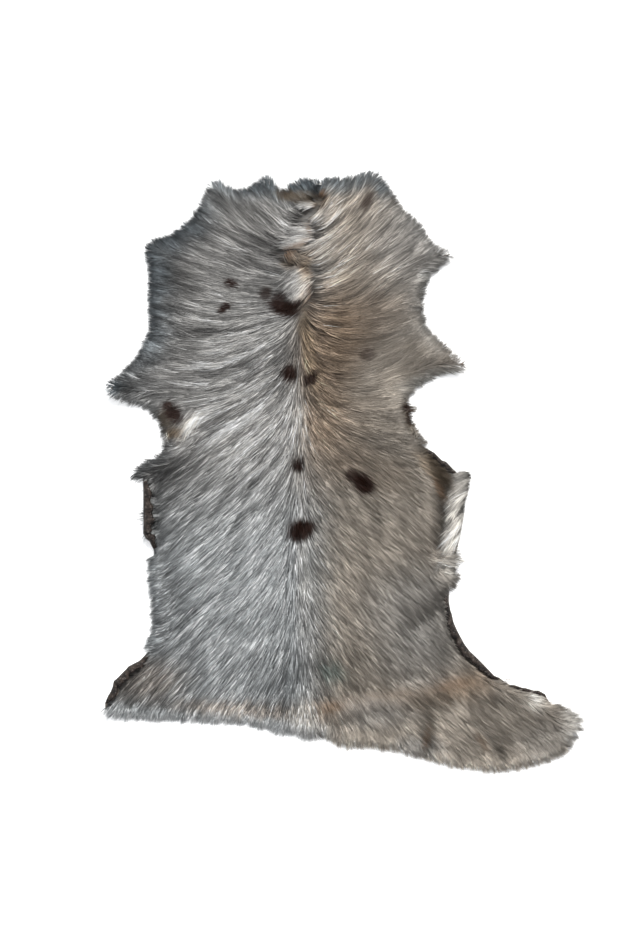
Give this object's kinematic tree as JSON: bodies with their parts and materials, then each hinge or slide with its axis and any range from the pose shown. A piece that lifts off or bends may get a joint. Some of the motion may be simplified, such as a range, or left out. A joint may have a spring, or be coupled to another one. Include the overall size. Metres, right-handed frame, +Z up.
{
  "type": "sheepskin",
  "caption": "Whole haired sheepskin tanned with the hair on, lying flat hair side up, with neck, foreleg and hind leg corners and rolled belly edges.",
  "frame": {"origin": "under the middle of the skin's outline, on the surface it lies on", "axes": "+Z up through the hair side, +Y along the backbone towards the neck, +X to the right seen from above"},
  "size_m": [0.7286, 0.9088, 0.0251],
  "materials": {
    "hair": "soft satin, short lying silver-grey to taupe hair with dark brown spots",
    "bare_hide": "matt, tanned suede side with dark dried edges"
  },
  "bodies": {
    "root": {"sheepskin": "hair"}
  },
  "joints": []
}
